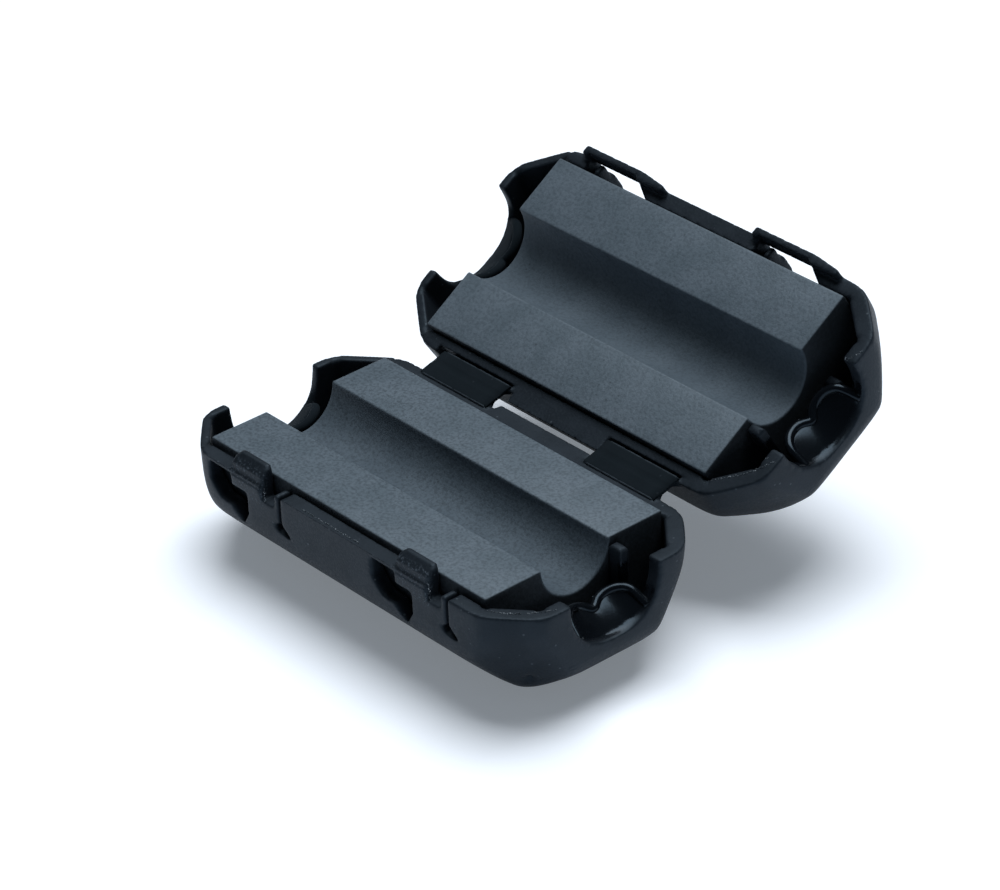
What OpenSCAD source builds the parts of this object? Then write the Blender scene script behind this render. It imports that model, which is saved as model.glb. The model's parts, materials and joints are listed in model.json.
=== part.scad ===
// Clip-on ferrite bead, opened: two ground ferrite half-cores in a hinged nylon housing.
// The groove axis is X, the hinge runs along X on the +Y side, Z is up.
// The origin is the middle of the cable groove, in the mating plane of the lower half.

/* [Ferrite cores] */
// Length of each half-core along the cable
core_length = 25; // [15:0.5:40]
// Width of each half-core across the cable
core_width = 13.6; // [10:0.1:22]
// Depth of each half-core below its mating face
core_depth = 6.8; // [5:0.1:12]
// Radius of the cable groove
groove_radius = 2.55; // [1.5:0.05:4]
// Bevel along the two long underside edges of a core
core_bevel = 3.4; // [1:0.1:5]
// Rounding of the bevel's corners on a core
core_radius = 1; // [0.2:0.1:2]
// Ground edge break along the mating face of a core
core_edge_break = 0.15; // [0.05:0.05:0.4]
// Distance of each mating face from the parting plane
face_gap = 0.04; // [0.02:0.01:0.1]

/* [Shell] */
// Thickness of the long walls
wall = 1.05; // [0.7:0.05:1.6]
// Thickness of the right end walls; the left ones are thinner by twice the outline's shift
end_wall = 1.05; // [0.7:0.05:1.6]
// How far the outer outline sits off the middle of the cavity
outline_shift = 0.2; // [0:0.05:0.3]
// Thickness of the floor under a core
floor_wall = 1.15; // [0.8:0.05:1.8]
// Thickness of the bevelled corners in plan, before the outline's shift
corner_wall = 1.05; // [0.6:0.05:1.4]
// How much thinner the bevelled corners at the left end are
corner_thinning = 0.3; // [0:0.05:0.4]
// Gap beside a core
side_gap = 0.1; // [0.05:0.05:0.4]
// Room between a core's end and the end wall
end_gap = 2.45; // [1.5:0.05:3]
// Gap under a core
floor_gap = 0.03; // [0.02:0.01:0.2]
// How far the rims stay below the parting plane
rim_drop = 0.45; // [0.3:0.05:0.8]
// Length along X of the plan corner bevels
corner_run = 3.5; // [2:0.1:4]
// Width along Y of the plan corner bevels
corner_rise = 3; // [2:0.1:4]
// How far the bevel of the long walls starts below that of the core
shoulder_drop = 0.55; // [0.3:0.05:0.9]
// How much wider the bevel of the long walls is than that of the core
side_bevel_extra = 0.75; // [0.5:0.05:1]
// Length of the bevel from the end walls down to the floor
end_bevel = 4.2; // [1.5:0.1:5]
// Height of the bevel from the end walls down to the floor
end_bevel_height = 2.7; // [2:0.1:5]
// Thickness of the bevels along the long sides
bevel_wall = 0.95; // [0.7:0.05:1.4]
// Thickness of the end bevels and of the lower corners
thin_wall = 0.55; // [0.4:0.05:1]
// Clearance between those thin faces and a core
thin_gap = 0.05; // [0.03:0.01:0.2]
// Slope of the planes that trim the lower corners
trim_slope = 1.67; // [1:0.01:2.5]
// How much is taken off the tips of the floor's corners
tip_cut = 0.35; // [0.1:0.05:0.6]
// Rounding of the corners of the three outlines
soft_radius = 1.8; // [1:0.1:3]

/* [Cable notches and grips] */
// Half width of the cable notch in each end wall
notch_half_width = 3.35; // [2.8:0.05:4]
// Depth of the cable notch below the parting plane
notch_depth = 4; // [3.6:0.1:5]
// Rounding of the bottom of the cable notch
notch_round = 3; // [1:0.1:3.2]
// Radius at the tips of the soft grip lobes
grip_radius = 2.6; // [2.55:0.05:3.5]
// Thickness of the grip lobes
grip_wall = 0.45; // [0.25:0.05:0.8]
// How far the grip lobes lean in from the end wall
grip_lean = 2.15; // [0.8:0.05:2.4]
// Depth of the notch between two grip lobes
lobe_notch = 0.45; // [0.2:0.05:1.2]
// Distance of the inner corner of a lobe's tip from the middle
lobe_inner = 0.4; // [0.2:0.05:0.9]
// Distance of the outer corner of a lobe's tip from the middle
lobe_outer = 2.1; // [1.2:0.05:2.3]
// How far that outer corner lies back from the tip
lobe_slant = 0.45; // [0.1:0.05:0.8]
// Distance of a lobe's side from the middle where it meets the wall
lobe_side = 2.65; // [2.4:0.05:2.9]
// Rounding of the outer corners of the lobes' tips
lobe_round = 0.6; // [0.1:0.05:0.7]
// Rounding of the inner corners of the lobes' tips
lobe_inner_round = 0.25; // [0.05:0.05:0.3]
// Rounding of the bottom of the notch between two lobes
lobe_notch_round = 0.15; // [0.05:0.05:0.3]
// Distance of the core stops from the middle of the notch
stop_offset = 2.85; // [2.6:0.05:3.4]
// Width of the core stops
stop_width = 0.65; // [0.4:0.05:1]
// Length of the core stops along the bead
stop_length = 1.05; // [0.6:0.05:1.6]

/* [Hinge] */
// Distance of the fold line behind the rear walls
hinge_offset = 0.68; // [0.55:0.01:1]
// Opening angle of the lid from closed
open_angle = 147.16; // [120:0.01:179]
// Distance of each strap's middle from the middle of the pair
strap_centre = 7.45; // [5:0.05:9]
// How far the pair of straps sits off the middle of the bead
strap_shift = 0.5; // [0:0.1:1]
// Width of each strap
strap_width = 6.1; // [4:0.1:8]
// Thickness of the strap plates
strap_thickness = 0.3; // [0.2:0.05:0.5]
// Half length of the thin fold between the strap plates
fold_reach = 0.3; // [0.2:0.05:0.5]
// Thickness of the thin fold
fold_thickness = 0.2; // [0.12:0.02:0.3]
// Width of the rim band left beside the strap recess
rim_band = 0.57; // [0.3:0.01:0.7]
// Width of the relief groove beside the lid's straps
strap_relief = 0.18; // [0.1:0.02:0.3]
// Depth of that relief groove below the lid's rim
strap_relief_depth = 0.8; // [0.3:0.1:1.5]
// How far the middle flange of the lid stands out from its wall
lid_flange = 0.62; // [0.2:0.02:0.66]
// How far the middle flange of the base stands out from its wall
base_flange = 0.5; // [0.1:0.02:0.54]
// Depth of the middle flanges below their rims
flange_depth = 0.7; // [0.4:0.05:1.2]
// Gap between a middle flange and a strap
flange_gap = 0.22; // [0.1:0.02:0.5]
// Depth of the gussets under the strap plates
strap_gusset = 0.5; // [0.2:0.05:1]
// How far the relief groove runs on past a strap
relief_run = 0.8; // [0.2:0.1:1.5]

/* [Latches] */
// Distance of each latch's middle from the middle of the pair
latch_centre = 7.55; // [5:0.05:9]
// How far the pair of latches sits off the middle of the bead
latch_shift = -0.3; // [-1:0.05:1]
// Length of the loop bars from the hook's middle to their posts
loop_left = 2.85; // [2.5:0.05:4]
// Length of the loop bars from the hook's middle to where they turn back
loop_right = 1.95; // [1.5:0.05:2.2]
// Length over which a loop bar runs back into the wall
loop_ramp = 2.1; // [1:0.1:2.5]
// Clearance beside a hook in the lid's window
window_clearance = 0.12; // [0.05:0.01:0.3]
// Slant of the window's side under the ramp
window_slant = 1.1; // [0.3:0.1:1.5]
// Height of the lid's latch windows above its rim
window_height = 3.4; // [1.5:0.1:3.5]
// Width of the wall piece left between a window and the pit beside a post
land_width = 0.4; // [0.3:0.1:1.4]
// Depth of the relief behind the loop bars
land_relief = 0.2; // [0.1:0.05:0.4]
// Height of that relief and of the pit beside a post
pit_height = 1.2; // [0.5:0.1:2]
// Thickness of the loop bars
loop_thickness = 0.4; // [0.2:0.05:0.5]
// Width of the loop posts
loop_post = 0.42; // [0.3:0.02:0.7]
// How far the loop bars pass beyond the parting plane
loop_reach = 0.28; // [0.1:0.02:0.4]
// Height of the loop bars
loop_height = 1.2; // [0.4:0.05:1.5]
// Clearance between a loop bar and the hook it passes
latch_clearance = 0.03; // [0.02:0.01:0.1]
// Width of the hook head
hook_width = 3; // [2:0.1:3.4]
// Height of the hook head above the parting plane
hook_rise = 0.65; // [0.5:0.05:1.2]
// How far the hook head swells out from the wall
hook_swell = 0.05; // [0.02:0.01:0.3]
// How far the hook's neck, which a loop bar passes, stands back from the wall
hook_neck = 0.15; // [0.1:0.01:0.3]
// Rounding of the left top corner of the hook head
head_round = 0.8; // [0.2:0.05:1]
// Rounding of the right top corner of the hook head
head_round_right = 0.5; // [0.2:0.05:1]
// Rounding of the long edges of the hook head
head_edge = 0.25; // [0.1:0.01:0.3]
// Depth to which the loops and the hook heads are rooted in their walls
root_depth = 0.35; // [0.2:0.05:0.6]
// Length over which the loop posts run back into the wall
loop_run = 1.1; // [0.5:0.1:2]
// Width of the slit beside the spring tongue
tongue_slit = 0.2; // [0.12:0.02:0.4]
// Width of the opening beside the hook head
leg_width = 2; // [1:0.1:2.5]
// Corner bevel of that opening
leg_bevel = 1; // [0.4:0.1:1.5]
// Lowest level of that opening
leg_bottom = -2.9; // [-3.5:0.1:-2]
// Where that opening ends under the head, from the head's middle
leg_end = 0; // [-0.5:0.1:0.5]
// Length of the opening's pointed tail
tail_length = 0.9; // [0.3:0.1:1.2]
// How far the point of the tail lies left of the opening's end
tail_lean = 0.6; // [0.2:0.1:1]
// Height of the strip of rim left above the opening
rim_strip = 0.2; // [0.1:0.05:0.4]
// Level of the underside of the hook head
head_bottom = -1.5; // [-2:0.1:-1]
// Level where the slope on top of the head ends
lead_in_bottom = 0.1; // [-0.2:0.05:0.4]
// Level of the bottom of the gap beside the head
gap_bottom = -1.35; // [-2:0.05:-1]
// Width of the gap beside the head
gap_width = 1.15; // [0.6:0.05:1.5]
// Level of the top of the slit's foot
foot_top = -2.4; // [-3:0.1:-2]
// Length of the slit's foot
foot_length = 1; // [0.5:0.1:1.5]

/* [Hidden] */
$fn = 64;

over = 1;
arc_steps = 7;
inside_half_length = core_length / 2 + end_gap;
shell_half_length = inside_half_length + end_wall - outline_shift;
shell_half_width = core_width / 2 + side_gap + wall;
shell_depth = core_depth + face_gap + floor_gap + floor_wall;
inside_half_width = shell_half_width - wall;
inside_depth = shell_depth - floor_wall;
shoulder = core_depth - core_bevel + shoulder_drop;
side_bevel = core_bevel + side_bevel_extra;
fold_y = shell_half_width + hinge_offset;
strap_slope = (180 - open_angle) / 2;
strap_start = inside_half_width + rim_band;
flange_half_length = strap_centre - strap_width / 2 - flange_gap;
straps_at = [strap_shift - strap_centre, strap_shift + strap_centre];
hook_front = shell_half_width + hook_swell;
hook_neck_front = shell_half_width - hook_neck;
loop_inner = hook_neck_front + latch_clearance;
latches_at = [latch_shift - latch_centre, latch_shift + latch_centre];
loop_outer = loop_inner + loop_thickness;
loop_root = shell_half_width - root_depth;
hook_half = hook_width / 2;
window_right = hook_half + window_clearance;
slit_x = hook_half + gap_width + 2 * tongue_slit;
leg_left = leg_width + hook_half;
leg_top = -rim_drop - rim_strip;
cut_length = 4 * shell_half_length;
cut_width = 4 * shell_half_width;

// Corner points of the outlines: end bevels (X, Z), side bevels (Y, Z) and plan corners (X, Y).
side_low = [shell_half_width - side_bevel, -shell_depth];
side_high = [shell_half_width, -shoulder];
end_low = [shell_half_length - end_bevel, -shell_depth];
end_high = [shell_half_length, end_bevel_height - shell_depth];
corner_in = [core_length / 2 + side_gap, core_width / 2 + side_gap / 2];
corner_dir = [corner_run, -corner_rise] / norm([corner_run, corner_rise]);
corner_normal = [corner_rise, corner_run] / norm([corner_run, corner_rise]);
corner_out = corner_in + corner_normal * corner_wall;
left_corner_out = corner_out - corner_normal * corner_thinning;
end_skin = thin_wall - outline_shift / 2;

// The lower corners are trimmed by a plane that clears the core's own corner.
trim_normal = unit([trim_slope, trim_slope, -1]);
trim_core = trim_normal * [core_length / 2, core_width / 2, core_bevel - core_depth - face_gap];

// A flatter plane takes the tip off each corner of the floor.
tip_normal = unit([end_bevel_height, end_bevel_height, -2 * end_bevel]);
tip_distance = tip_normal * [end_low[0], side_low[0], -shell_depth] - tip_cut;

// Where the line through p along d reaches a given first or second coordinate.
function meet_first(p, d, v) = [v, p[1] + (v - p[0]) / d[0] * d[1]];
function meet_second(p, d, v) = [p[0] + (v - p[1]) / d[1] * d[0], v];
function inward(a, b) = [b[1] - a[1], a[0] - b[0]] / norm(b - a);
function shifted(a, b, t) = a + inward(a, b) * t;
function unit(v) = v / norm(v);

// The quarter outline between an upright side and a floor, as two corner points.
function outline_pair(p, d, first, second) = [meet_first(p, d, first), meet_second(p, d, second)];

// A convex outline with its corners rounded by short chords; radii match its corners.
function soft_points(pts, radii, steps) = [
  for (i = [0:len(pts) - 1])
    let (
      before = unit(pts[(i + len(pts) - 1) % len(pts)] - pts[i]),
      after = unit(pts[(i + 1) % len(pts)] - pts[i]),
      half = acos(before * after) / 2,
      middle = pts[i] + unit(before + after) * radii[i] / sin(half),
      first = pts[i] + before * radii[i] / tan(half) - middle,
      last = pts[i] + after * radii[i] / tan(half) - middle,
      turn = 180 - 2 * half
    )
      for (k = [0:(radii[i] > 0 ? steps : 0)])
        middle + (sin(turn - k * turn / steps) * first + sin(k * turn / steps) * last) / sin(turn)
];

module soft_outline(pts, radii) {
  polygon(soft_points(pts, radii, arc_steps));
}

// An outline open at the top, symmetrical about the vertical: quarter is [upright corner, floor corner].
module trough_outline(quarter, top, radius) {
  a = quarter[0];
  b = quarter[1];
  soft_outline(
    [[a[0], top], [a[0], a[1]], b, [-b[0], b[1]], [-a[0], a[1]], [-a[0], top]],
    [0, radius, radius, radius, radius, 0]
  );
}

// A plan outline with four bevelled corners; right and left are pairs of [end corner, side corner].
module plan_outline(right, left, radius) {
  a = right[0];
  b = right[1];
  c = left[0];
  d = left[1];
  pts = [a, b, [-d[0], d[1]], [-c[0], c[1]], [-c[0], -c[1]], [-d[0], -d[1]], [b[0], -b[1]], [a[0], -a[1]]];
  soft_outline(pts, [for (p = pts) radius]);
}

module along_x(length) {
  rotate([90, 0, 90]) linear_extrude(height = length, center = true) children();
}

module along_y(length) {
  rotate([90, 0, 0]) linear_extrude(height = length, center = true) children();
}

// One trough: cross-section, side view and plan intersected, with its lower corners trimmed.
module trough(section, side, right, left, top, radius) {
  difference() {
    intersection() {
      along_x(cut_length) trough_outline(section, top, radius);
      along_y(cut_width) trough_outline(side, top, radius);
      linear_extrude(height = cut_width, center = true)
        plan_outline(right, left, radius / 2);
    }
    both_ends() both_sides() children();
  }
}

// A block whose near face is a trimming plane at a distance from the origin.
module corner_trim(normal, distance) {
  rotate([0, asin(-normal[2]), atan2(normal[1], normal[0])])
    translate([distance, -shell_half_length, -shell_half_length])
      cube(2 * shell_half_length);
}

module shell_outside() {
  translate([outline_shift, 0, 0])
    trough(
      [side_high, side_low],
      [end_high, end_low],
      outline_pair(corner_out, corner_dir, shell_half_length, shell_half_width),
      outline_pair(left_corner_out, corner_dir, shell_half_length, shell_half_width),
      -rim_drop,
      soft_radius
    ) {
      corner_trim(trim_normal, trim_core + thin_gap + thin_wall);
      corner_trim(tip_normal, tip_distance);
    }
}

module shell_inside() {
  side = shifted(side_high, side_low, bevel_wall);
  end = shifted(end_high, end_low, end_skin);
  corners = outline_pair(corner_in, corner_dir, inside_half_length, inside_half_width);
  trough(
    outline_pair(side, side_low - side_high, inside_half_width, -inside_depth),
    outline_pair(end, end_low - end_high, inside_half_length, -inside_depth),
    corners,
    corners,
    over,
    core_radius
  ) corner_trim(trim_normal, trim_core + thin_gap);
}

// The cable notch through both end walls: a U with a round bottom.
module notch() {
  half = notch_half_width;
  along_x(cut_length)
    soft_outline(
      [[-half, over], [-half, -notch_depth], [half, -notch_depth], [half, over]],
      [0, notch_round, notch_round, 0]
    );
}

// Two grip lobes in one notch: part of a cone leaning in to the core, notched between its rounded tips.
module grip() {
  start = inside_half_length + end_wall / 2;
  tip = start - grip_lean;
  root = notch_depth - thin_gap;
  intersection() {
    translate([start, 0, 0])
      rotate([0, -90, 0])
        rotate_extrude()
          polygon([
            [root + grip_wall, 0],
            [grip_radius + grip_wall, grip_lean],
            [grip_radius, grip_lean],
            [root, 0],
          ]);
    translate([0, 0, -shell_depth])
      linear_extrude(height = shell_depth)
        soft_outline(
          [
            [start + over, -lobe_side],
            [start, -lobe_side],
            [tip + lobe_slant, -lobe_outer],
            [tip, -lobe_inner],
            [tip + lobe_notch, 0],
            [tip, lobe_inner],
            [tip + lobe_slant, lobe_outer],
            [start, lobe_side],
            [start + over, lobe_side],
          ],
          [0, 0, lobe_round, lobe_inner_round, lobe_notch_round, lobe_inner_round, lobe_round, 0, 0]
        );
  }
}

module both_ends() {
  children();
  mirror([1, 0, 0]) children();
}

module both_sides() {
  children();
  mirror([0, 1, 0]) children();
}

// The strap plates of one half: their upper faces run straight to the fold line, over a small gusset.
module strap_plates(start) {
  along = [cos(strap_slope), sin(strap_slope)];
  below = [sin(strap_slope), -cos(strap_slope)];
  fold = [fold_y, 0];
  tip = fold - along * fold_reach;
  root = -rim_drop - strap_gusset;
  for (middle = straps_at) {
    translate([middle, 0, 0])
      along_x(strap_width)
        polygon([
          meet_first(fold, along, start),
          tip,
          tip + below * strap_thickness,
          [shell_half_width, root],
          [start, root],
        ]);
  }
}

// The flange between the straps, standing out from the rear wall with a bevelled underside.
module middle_flange(out) {
  translate([strap_shift, 0, 0])
    along_x(2 * flange_half_length)
      polygon([
        [inside_half_width, -rim_drop],
        [shell_half_width + out, -rim_drop],
        [shell_half_width + out, -rim_drop - flange_depth / 2],
        [shell_half_width - wall / 2, -rim_drop - flange_depth - out],
        [inside_half_width, -rim_drop - flange_depth - out],
      ]);
}

// Posts that stop a core from sliding along its shell; the right rear one reaches the rim.
module core_stops() {
  for (end = [-1, 1]) {
    for (side = [-1, 1]) {
      height = shell_depth - (end + side > 1 ? 0 : core_depth / 2);
      middle = core_length / 2 + floor_gap + stop_length / 2;
      translate([end * middle - stop_length / 2, side * stop_offset - stop_width / 2, -shell_depth])
        cube([stop_length, stop_width, height]);
    }
  }
}

// The shell of one half without its hinge and latch parts.
module half_shell() {
  difference() {
    shell_outside();
    shell_inside();
    notch();
  }
  intersection() {
    shell_outside();
    core_stops();
  }
  both_ends() grip();
}

// Repeats its children at both latches, both the same way round.
module at_latches() {
  for (middle = latches_at) {
    translate([middle, 0, 0]) children();
  }
}

// Cuts through the front wall only, from a drawing in X and Z.
module front_cut() {
  translate([0, -shell_half_width, 0]) along_y(2 * wall + side_gap) children();
}

// The opening beside and under the hook head, with its pointed tail.
module hook_leg() {
  polygon([
    [-leg_left, leg_top],
    [-leg_left, leg_bottom + leg_bevel],
    [leg_bevel - leg_left, leg_bottom],
    [-hook_half, leg_bottom],
    [leg_end - tail_lean, leg_bottom - tail_length],
    [leg_end, leg_bottom],
    [leg_end, head_bottom],
    [-hook_half, head_bottom],
    [-hook_half, leg_top],
  ]);
}

// The gap on the other side of the head, then the slit of the spring tongue with its foot.
module tongue_slits() {
  translate([hook_half, gap_bottom]) square([gap_width, over - gap_bottom]);
  translate([slit_x, foot_top]) square([tongue_slit, over - foot_top]);
  polygon([
    [slit_x - 2 * tongue_slit, foot_top - tongue_slit / 2],
    [slit_x, foot_top + tongue_slit / 2],
    [slit_x + tongue_slit, foot_top + tongue_slit / 2],
    [slit_x + foot_length, foot_top - 3 * tongue_slit],
    [slit_x - tongue_slit / 2, foot_top - 2 * tongue_slit],
  ]);
}

// The hook head: a swollen pad rising above the rim, sloped on top to lead the loop bar over it.
module hook_head() {
  intersection() {
    along_x(hook_width)
      soft_outline(
        [
          [-inside_half_width, head_bottom],
          [-inside_half_width, hook_rise],
          [-inside_half_width - root_depth, hook_rise],
          [-hook_neck_front, lead_in_bottom],
          [-hook_neck_front, -loop_reach - latch_clearance],
          [-hook_front, head_bottom / 2],
          [-shell_half_width, head_bottom],
        ],
        [0, head_edge / 2, head_edge, head_edge, 0, head_edge, 0]
      );
    along_y(cut_width)
      soft_outline(
        [
          [-hook_half, head_bottom],
          [-hook_half, hook_rise + head_edge / 2],
          [hook_half, hook_rise + head_edge / 2],
          [hook_half, head_bottom],
        ],
        [0, head_round, head_round_right, 0]
      );
  }
}

// The loop that stands off the lid's front wall, drawn in the closed position about its hook's middle.
module loop() {
  low = -loop_reach;
  high = low + loop_height;
  post = -loop_left - loop_post;
  translate([0, 0, low])
    linear_extrude(height = loop_height)
      polygon([
        [post, -loop_root],
        [post, -loop_outer],
        [loop_right, -loop_outer],
        [loop_right + loop_ramp, -shell_half_width],
        [loop_right + loop_ramp, -loop_root],
        [window_right, -loop_root],
        [window_right, -loop_inner],
        [-loop_left, -loop_inner],
        [-loop_left, -loop_root],
      ]);
  translate([post + loop_post / 2, 0, 0]) loop_foot(loop_post, high);
  translate([(window_right + loop_right + loop_ramp) / 2, 0, 0])
    loop_foot(loop_right + loop_ramp - window_right, high, -shell_half_width);
}

// Where the end of a loop runs back into the wall above the bar.
module loop_foot(width, high, face = -loop_outer) {
  along_x(width)
    polygon([
      [-loop_root, high - root_depth],
      [face, high - root_depth],
      [face, high],
      [-shell_half_width, high + loop_run],
      [-loop_root, high + loop_run],
    ]);
}

// The window in the lid's front wall behind one loop, drawn in the closed position about its hook's middle.
module window() {
  right = window_right + window_slant;
  pit_width = loop_left - window_right - land_width;
  outside = shell_half_width + over;
  linear_extrude(height = rim_drop + window_height)
    polygon([
      [-window_right, over - inside_half_width],
      [-window_right, -outside],
      [window_right, -outside],
      [window_right, -loop_root],
      [right, -inside_half_width],
      [right, over - inside_half_width],
    ]);
  translate([-loop_left, -outside, 0]) {
    cube([loop_left - window_right + over, over + land_relief, rim_drop + pit_height]);
    cube([pit_width, over + wall + side_gap / 2, rim_drop + pit_height]);
  }
}

// The relief groove between the rim band and each strap of the lid.
module strap_relief_cuts() {
  for (middle = straps_at) {
    translate([middle - strap_width / 2 - relief_run, strap_start, -rim_drop - strap_relief_depth]) {
      cube([strap_width + relief_run, strap_relief, strap_relief_depth + over]);
      cube([relief_run, wall, strap_relief_depth + over]);
    }
  }
}

module base_form() {
  difference() {
    half_shell();
    at_latches() front_cut() {
      hook_leg();
      tongue_slits();
    }
  }
  at_latches() hook_head();
  strap_plates(strap_start);
  middle_flange(base_flange);
}

// The lid in its closed position.
module lid_form() {
  difference() {
    mirror([0, 0, 1]) difference() {
      half_shell();
      strap_relief_cuts();
    }
    at_latches() window();
  }
  at_latches() loop();
  mirror([0, 0, 1]) {
    strap_plates(strap_start + strap_relief);
    middle_flange(lid_flange);
  }
}

module core_form() {
  half = core_width / 2;
  outline = [
    [half, 0],
    [half, core_bevel - core_depth],
    [half - core_bevel, -core_depth],
    [core_bevel - half, -core_depth],
    [-half, core_bevel - core_depth],
    [-half, 0],
  ];
  radii = [core_edge_break, core_radius, core_radius, core_radius, core_radius, core_edge_break];
  difference() {
    translate([0, 0, -face_gap]) {
      along_x(core_length) soft_outline(outline, radii);
    }
    along_x(2 * core_length) circle(r = groove_radius);
  }
}

// Swings what is drawn in the closed position about the fold line to where the open lid stands.
module opened() {
  translate([0, fold_y, 0])
    rotate([-open_angle, 0, 0])
      translate([0, -fold_y, 0])
        children();
}

module base_shell() {
  color("#2b2f36") base_form();
}

module lid_shell() {
  color("#2b2f36") opened() lid_form();
}

module lower_core() {
  color("#4a5159") core_form();
}

module upper_core() {
  color("#4a5159") opened() mirror([0, 0, 1]) core_form();
}

module hinge_web(middle) {
  translate([middle, fold_y, 0])
    rotate([strap_slope, 0, 0])
      translate([-strap_width / 2, -fold_reach, -fold_thickness])
        cube([strap_width, 2 * fold_reach, fold_thickness]);
}

module hinge_web_left() {
  color("#33373e") hinge_web(straps_at[0]);
}

module hinge_web_right() {
  color("#33373e") hinge_web(straps_at[1]);
}

base_shell();
lid_shell();
lower_core();
upper_core();
hinge_web_left();
hinge_web_right();
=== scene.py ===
import json
import math

import bmesh
import bpy
import numpy as np
from mathutils import Matrix, Vector, kdtree

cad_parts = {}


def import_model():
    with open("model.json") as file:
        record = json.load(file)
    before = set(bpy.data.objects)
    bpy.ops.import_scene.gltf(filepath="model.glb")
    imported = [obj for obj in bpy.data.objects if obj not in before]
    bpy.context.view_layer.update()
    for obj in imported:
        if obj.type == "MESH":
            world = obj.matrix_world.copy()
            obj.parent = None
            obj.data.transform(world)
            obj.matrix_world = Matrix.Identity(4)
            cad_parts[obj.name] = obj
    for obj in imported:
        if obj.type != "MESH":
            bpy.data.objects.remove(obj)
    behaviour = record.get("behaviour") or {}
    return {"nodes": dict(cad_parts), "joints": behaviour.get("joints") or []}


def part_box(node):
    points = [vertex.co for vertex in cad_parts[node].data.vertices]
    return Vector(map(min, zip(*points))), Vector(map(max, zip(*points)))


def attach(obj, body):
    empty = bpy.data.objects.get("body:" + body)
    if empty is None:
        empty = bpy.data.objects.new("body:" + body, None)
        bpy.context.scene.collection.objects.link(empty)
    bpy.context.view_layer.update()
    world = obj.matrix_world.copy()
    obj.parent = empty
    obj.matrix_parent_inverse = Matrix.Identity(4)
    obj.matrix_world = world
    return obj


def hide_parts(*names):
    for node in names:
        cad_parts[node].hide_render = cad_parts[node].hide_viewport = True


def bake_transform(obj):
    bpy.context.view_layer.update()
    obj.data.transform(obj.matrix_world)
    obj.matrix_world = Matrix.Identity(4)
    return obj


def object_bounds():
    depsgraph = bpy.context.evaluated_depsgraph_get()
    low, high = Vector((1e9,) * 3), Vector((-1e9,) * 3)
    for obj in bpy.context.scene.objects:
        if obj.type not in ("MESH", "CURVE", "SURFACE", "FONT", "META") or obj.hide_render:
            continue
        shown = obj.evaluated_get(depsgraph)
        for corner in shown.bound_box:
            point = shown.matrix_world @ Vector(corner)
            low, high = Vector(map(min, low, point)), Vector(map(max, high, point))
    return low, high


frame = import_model()
cad_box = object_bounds()

MM = 0.001
MERGE = 0.002 * MM

# Sizes are in millimetres. Those of the hinge, the straps and the floor are the frame's own.
HINGE = frame["joints"][0]
OPEN_ANGLE = math.radians(HINGE["range_deg"][1])
FOLD_Y = HINGE["pos_m"][1] / MM
STRAP_TILT = (math.pi - OPEN_ANGLE) / 2
FLOOR_LEVEL = cad_box[0][2] / MM
STRAP_SPANS = {}
for side in ("left", "right"):
    low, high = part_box("hinge_web_" + side)
    STRAP_SPANS["hinge_fold_" + side] = (low.x / MM, high.x / MM)

# Outside of one half: both ends stand a little towards +X, and the corners at -X are thinner.
HALF_LENGTH = 15.8
HALF_WIDTH = 7.95
END_SHIFT = 0.2
THINNER_CORNER = 0.3
SOFTNESS = 4.0
ON_SURFACE = 0.003

# Edge lengths of the shells' meshes: at creases, on soft blends, far from both, and how fast they grow.
FINE_EDGE = 0.15
BLEND_EDGE = 0.42
COARSE_EDGE = 2.5
EDGE_GROWTH = 1.2
LONG_EDGE = 1.5

# Latch hooks, and the small nick in the lower half's right end.
HOOKS_AT = (-7.85, 7.25)
NICK_AT = (14.0, -5.02, -5.5)
NICK_DEPTH = 0.42
NICK_RADIUS = 0.3

# Grips: the cone they lie on as (distance out along the bead, radius), and the corners of their free edge
# as (distance out along the bead, distance across it).
GRIP_TIP = (13.325, 2.825)
GRIP_ROOT = (15.475, 4.175)
LOBE_SIDE = [(15.5, 2.65), (14.2, 2.35), (13.62, 1.75), (13.38, 1.1), (13.42, 0.5)]
LOBE_CLEFT = (13.88, 0.0)
GRIP_ROUNDING = 4
LIP_RADIUS = 0.3
LIP_SIDES = 16
LIP_ROUNDING = 120

# Width of the broken edges of the half-cores.
CORE_EDGE = 0.12

# Strap folds: half length of the part that bends, reach over the lower and upper plates, thickness.
FOLD_REACH = 0.3
FOLD_ENDS = (1.18, 0.99)
FOLD_THICKNESS = 0.2
FOLD_LIFT = 0.015
FOLD_WAIST = 0.03


# ---------------------------------------------------------------- places on the two halves

def to_half(points, lid):
    """Points in millimetres as they lie in one half, groove axis at the origin and floor down."""
    if not lid:
        return points
    c, s = math.cos(OPEN_ANGLE), math.sin(OPEN_ANGLE)
    y, z = points[:, 1] - FOLD_Y, points[:, 2]
    return np.stack([points[:, 0], c * y - s * z + FOLD_Y, -(s * y + c * z)], 1)


def from_half(points, lid):
    """The way back: a half's own points to where that half stands, the lid swung open."""
    if not lid:
        return points
    c, s = math.cos(OPEN_ANGLE), math.sin(OPEN_ANGLE)
    y, z = points[:, 1] - FOLD_Y, -points[:, 2]
    return np.stack([points[:, 0], c * y + s * z + FOLD_Y, c * z - s * y], 1)


# ---------------------------------------------------------------- moulded shells

def unit(v):
    v = np.array(v, float)
    return v / np.linalg.norm(v)


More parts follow.
